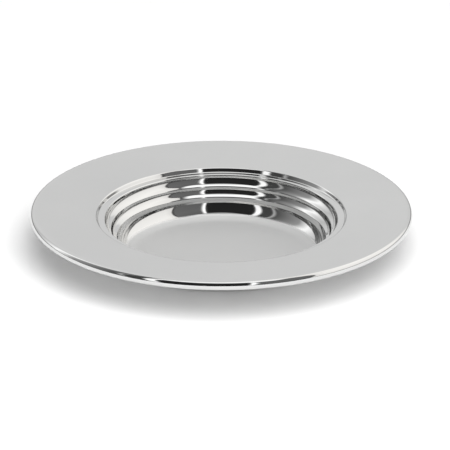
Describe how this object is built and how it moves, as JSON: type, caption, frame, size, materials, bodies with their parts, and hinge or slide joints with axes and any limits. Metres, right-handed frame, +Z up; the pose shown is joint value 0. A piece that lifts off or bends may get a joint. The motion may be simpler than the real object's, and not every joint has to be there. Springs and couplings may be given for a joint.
{
  "type": "offering plate",
  "caption": "Round polished metal offering plate with a wide flat brim, a rolled edge and a deep well with a stepped wall and a flat floor.",
  "frame": {"origin": "centre of the underside of the felt base pad, on the surface the plate rests on", "axes": "+Z up along the plate's axis of symmetry, out of the open well; X and Y are any two directions across the plate"},
  "size_m": [0.2538, 0.2538, 0.0341],
  "materials": {
    "polished_metal": "mirror-polished stainless sheet",
    "hoop_steel": "drawn steel wire",
    "base_felt": "pressed wool felt"
  },
  "bodies": {
    "root": {"plate_body": "polished_metal", "rim_wire": "hoop_steel", "base_pad": "base_felt"}
  },
  "joints": []
}
